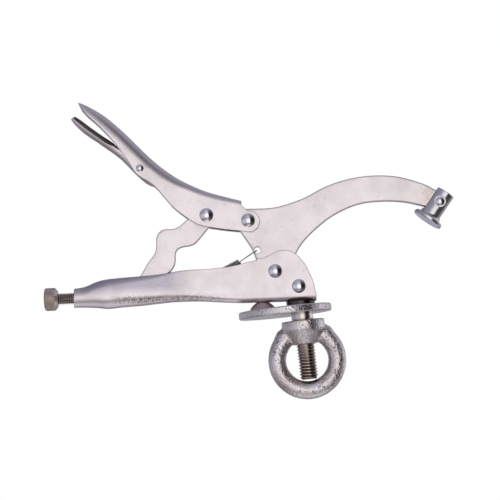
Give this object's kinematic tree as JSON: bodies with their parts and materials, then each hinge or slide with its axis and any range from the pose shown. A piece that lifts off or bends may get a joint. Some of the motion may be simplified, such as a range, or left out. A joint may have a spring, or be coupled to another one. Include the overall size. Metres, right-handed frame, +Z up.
{
  "type": "bench clamp",
  "caption": "Locking-plier bench hold-down clamp with a swivel pad, on a round base disc with a threaded stud and an eye nut.",
  "frame": {"origin": "on the stud's axis in the plane of the base disc's underside", "axes": "+Z up along the stud, +X from the stud towards the swivel pad, Y across the pliers"},
  "size_m": [0.2882, 0.064, 0.2222],
  "materials": {
    "nickel_steel": "satin nickel plate on pressed and forged steel",
    "screw_steel": "nickel plate with brown tint in the thread",
    "spring_wire": "dark drawn wire",
    "bright_rivet": "mirror bright",
    "bright_pad": "bright turned nickel",
    "plated_disc": "rough plated steel",
    "dark_button": "dark grey",
    "cast_eye": "rough plated forging"
  },
  "bodies": {
    "base": {"fixed_handle": "nickel_steel", "jaw_pivot_rivet": "bright_rivet", "front_rivet": "bright_rivet", "base_disc": "plated_disc", "mounting_stud": "screw_steel", "rest_button": "dark_button", "tension_spring": "spring_wire"},
    "jaw": {"upper_jaw": "nickel_steel"},
    "handle": {"movable_handle": "nickel_steel", "handle_rivet": "bright_rivet", "link_rivet": "bright_rivet", "lever_rivet": "bright_rivet"},
    "link": {"toggle_link": "nickel_steel"},
    "lever": {"release_lever": "nickel_steel"},
    "pad": {"swivel_pad": "bright_pad", "pad_rivet": "bright_rivet"},
    "screw": {"adjusting_screw": "screw_steel"},
    "nut": {"eye_nut": "cast_eye"}
  },
  "joints": [
    {"name": "handle_pivot", "type": "hinge", "parent": "jaw", "child": "handle", "pos_m": [-0.02945, 0, 0.06765], "axis": [0, -1, 0], "range_deg": [0, 49.2]},
    {"name": "jaw_pivot", "type": "hinge", "parent": "base", "child": "jaw", "pos_m": [-0.01493, 0, 0.03077], "axis": [0, 1, 0], "range_deg": [0, 11.93], "stiffness_Nm_per_rad": 0.35, "springref_deg": -91.67, "deforming": ["tension_spring"]},
    {"name": "link_pivot", "type": "hinge", "parent": "handle", "child": "link", "pos_m": [-0.05756, 0, 0.07447], "axis": [0, 1, 0], "range_deg": [0, 50.96]},
    {"name": "release", "type": "hinge", "parent": "handle", "child": "lever", "pos_m": [-0.0995, 0, 0.11176], "axis": [0, 1, 0], "range_deg": [-3, 5]},
    {"name": "pad_swivel", "type": "hinge", "parent": "jaw", "child": "pad", "pos_m": [0.10308, 0, 0.06563], "axis": [0, -1, 0], "range_deg": [0, 48]},
    {"name": "screw_travel", "type": "slide", "parent": "base", "child": "screw", "axis": [-0.9976, 0, 0.0698], "range_m": [0, 0.012]},
    {"name": "nut_travel", "type": "slide", "parent": "base", "child": "nut", "axis": [0, 0, -1], "range_m": [0, 0.024]}
  ],
  "couplings": [
    {"joint": "jaw_pivot", "follows": "handle_pivot", "ratio": 0.24236},
    {"joint": "link_pivot", "follows": "handle_pivot", "ratio": 1.0356}
  ]
}
